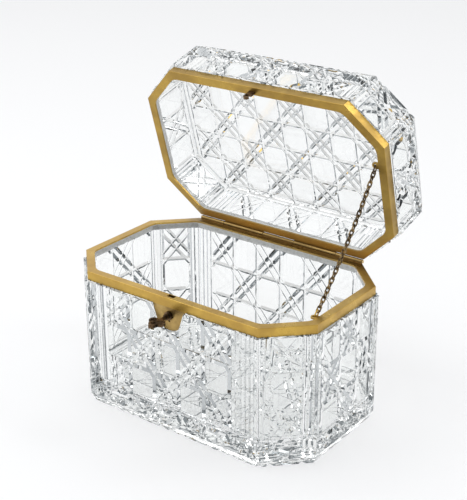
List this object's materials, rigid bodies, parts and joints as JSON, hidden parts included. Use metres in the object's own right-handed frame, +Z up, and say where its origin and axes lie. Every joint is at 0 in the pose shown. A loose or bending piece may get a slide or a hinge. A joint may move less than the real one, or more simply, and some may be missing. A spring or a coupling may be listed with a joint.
{
  "type": "glass casket box",
  "caption": "Eight-sided cut-glass casket with gilt brass collars; a hinged lid held open by a fine chain and a keyed lock at the front, for papers and keepsakes.",
  "frame": {"origin": "centre of the underside of the glass base, which stands on the table", "axes": "+X to the right seen from the front, along the length; +Y to the back, towards the hinge; +Z up"},
  "size_m": [0.1636, 0.1492, 0.1893],
  "materials": {
    "cut_glass": "clear polished crystal with ground and polished cuts",
    "gilt_brass": "gilt brass, softly polished, a little worn",
    "plain_brass": "plain drawn and filed brass",
    "dark_bronze": "darkened bronze with worn edges",
    "cement": "matte grey plaster cement",
    "spring_steel": "thin blued steel strip"
  },
  "bodies": {
    "base": {"glass_base": "cut_glass", "base_collar": "gilt_brass", "base_cement": "cement", "base_hinge_leaf": "gilt_brass", "base_chain_lug": "gilt_brass", "lock_plate": "gilt_brass", "lock_case": "plain_brass", "lock_cover": "plain_brass", "lock_cover_screws": "plain_brass", "key_pin": "plain_brass", "bolt_spring": "spring_steel", "hinge_pin": "plain_brass"},
    "lid": {"lid_collar": "gilt_brass", "lid_cement": "cement", "glass_lid": "cut_glass", "lid_hinge_leaf": "gilt_brass", "lid_chain_lug": "gilt_brass", "lid_catch": "dark_bronze"},
    "bolt": {"lock_bolt": "plain_brass"},
    "key": {"key": "dark_bronze"},
    "chain_front_leg": {"base_chain_ring": "gilt_brass", "chain_link_01": "dark_bronze", "chain_link_02": "dark_bronze", "chain_link_03": "dark_bronze", "chain_link_04": "dark_bronze", "chain_link_05": "dark_bronze", "chain_link_06": "dark_bronze", "chain_link_07": "dark_bronze", "chain_link_08": "dark_bronze", "chain_link_09": "dark_bronze"},
    "chain_link_10": {"chain_link_10": "dark_bronze"},
    "chain_link_11": {"chain_link_11": "dark_bronze"},
    "chain_link_12": {"chain_link_12": "dark_bronze"},
    "chain_link_13": {"chain_link_13": "dark_bronze"},
    "chain_link_14": {"chain_link_14": "dark_bronze"},
    "chain_link_15": {"chain_link_15": "dark_bronze"},
    "chain_link_16": {"chain_link_16": "dark_bronze"},
    "chain_link_17": {"chain_link_17": "dark_bronze"},
    "chain_link_18": {"chain_link_18": "dark_bronze"},
    "chain_back_leg": {"chain_link_20": "dark_bronze", "chain_link_21": "dark_bronze", "chain_link_22": "dark_bronze", "chain_link_23": "dark_bronze", "chain_link_24": "dark_bronze", "chain_link_25": "dark_bronze", "chain_link_26": "dark_bronze", "chain_link_27": "dark_bronze", "chain_link_28": "dark_bronze", "chain_link_29": "dark_bronze", "lid_chain_ring": "dark_bronze"},
    "chain_link_19": {"chain_link_19": "dark_bronze"}
  },
  "joints": [
    {"name": "lid_hinge", "type": "hinge", "parent": "base", "child": "lid", "pos_m": [0, 0.0516, 0.0822], "axis": [1, 0, 0], "range_deg": [0, 74]},
    {"name": "key_turn", "type": "hinge", "parent": "base", "child": "key", "pos_m": [0, -0.05, 0.0718], "axis": [0, -1, 0], "range_deg": [0, 180]},
    {"name": "bolt_slide", "type": "slide", "parent": "base", "child": "bolt", "axis": [-1, 0, 0], "range_m": [0, 0.0028]},
    {"name": "chain_front_turn", "type": "hinge", "parent": "base", "child": "chain_front_leg", "pos_m": [0.0732, -0.0202, 0.08155], "axis": [1, 0, 0], "range_deg": [-146.3, 0]},
    {"name": "chain_link_10_bend", "type": "hinge", "parent": "chain_front_leg", "child": "chain_link_10", "pos_m": [0.0732, -0.001, 0.10158], "axis": [1, 0, 0], "range_deg": [0, 9.8]},
    {"name": "chain_link_11_bend", "type": "hinge", "parent": "chain_link_10", "child": "chain_link_11", "pos_m": [0.0732, 0.00019, 0.10292], "axis": [1, 0, 0], "range_deg": [0, 11.6]},
    {"name": "chain_link_12_bend", "type": "hinge", "parent": "chain_link_11", "child": "chain_link_12", "pos_m": [0.0732, 0.00262, 0.10568], "axis": [1, 0, 0], "range_deg": [0, 16.1]},
    {"name": "chain_link_13_bend", "type": "hinge", "parent": "chain_link_12", "child": "chain_link_13", "pos_m": [0.0732, 0.00379, 0.10703], "axis": [1, 0, 0], "range_deg": [0, 18.4]},
    {"name": "chain_link_14_bend", "type": "hinge", "parent": "chain_link_13", "child": "chain_link_14", "pos_m": [0.0732, 0.00619, 0.10983], "axis": [1, 0, 0], "range_deg": [0, 22.5]},
    {"name": "chain_link_15_bend", "type": "hinge", "parent": "chain_link_14", "child": "chain_link_15", "pos_m": [0.0732, 0.00734, 0.1112], "axis": [1, 0, 0], "range_deg": [0, 23.6]},
    {"name": "chain_link_16_bend", "type": "hinge", "parent": "chain_link_15", "child": "chain_link_16", "pos_m": [0.0732, 0.00969, 0.11403], "axis": [1, 0, 0], "range_deg": [0, 23.4]},
    {"name": "chain_link_17_bend", "type": "hinge", "parent": "chain_link_16", "child": "chain_link_17", "pos_m": [0.0732, 0.01083, 0.11541], "axis": [1, 0, 0], "range_deg": [0, 22.1]},
    {"name": "chain_link_18_bend", "type": "hinge", "parent": "chain_link_17", "child": "chain_link_18", "pos_m": [0.0732, 0.01314, 0.11827], "axis": [1, 0, 0], "range_deg": [0, 17.9]},
    {"name": "chain_back_turn", "type": "hinge", "parent": "lid", "child": "chain_back_leg", "pos_m": [0.0732, 0.03384, 0.1465], "axis": [1, 0, 0], "range_deg": [-28.8, 0]},
    {"name": "chain_link_19_bend", "type": "hinge", "parent": "chain_back_leg", "child": "chain_link_19", "pos_m": [0.0732, 0.01654, 0.12256], "axis": [1, 0, 0], "range_deg": [-11.9, 0]}
  ],
  "couplings": [
    {"joint": "key_turn", "follows": "bolt_slide", "rad_per_m": 1122},
    {"joint": "chain_front_turn", "follows": "lid_hinge", "ratio": -1.9749},
    {"joint": "chain_link_10_bend", "follows": "lid_hinge", "ratio": 0.13014},
    {"joint": "chain_link_11_bend", "follows": "lid_hinge", "ratio": 0.15441},
    {"joint": "chain_link_12_bend", "follows": "lid_hinge", "ratio": 0.21561},
    {"joint": "chain_link_13_bend", "follows": "lid_hinge", "ratio": 0.24712},
    {"joint": "chain_link_14_bend", "follows": "lid_hinge", "ratio": 0.30264},
    {"joint": "chain_link_15_bend", "follows": "lid_hinge", "ratio": 0.31752},
    {"joint": "chain_link_16_bend", "follows": "lid_hinge", "ratio": 0.31392},
    {"joint": "chain_link_17_bend", "follows": "lid_hinge", "ratio": 0.29647},
    {"joint": "chain_link_18_bend", "follows": "lid_hinge", "ratio": 0.24025},
    {"joint": "chain_back_turn", "follows": "lid_hinge", "ratio": -0.38779},
    {"joint": "chain_link_19_bend", "follows": "lid_hinge", "ratio": -0.15829}
  ]
}
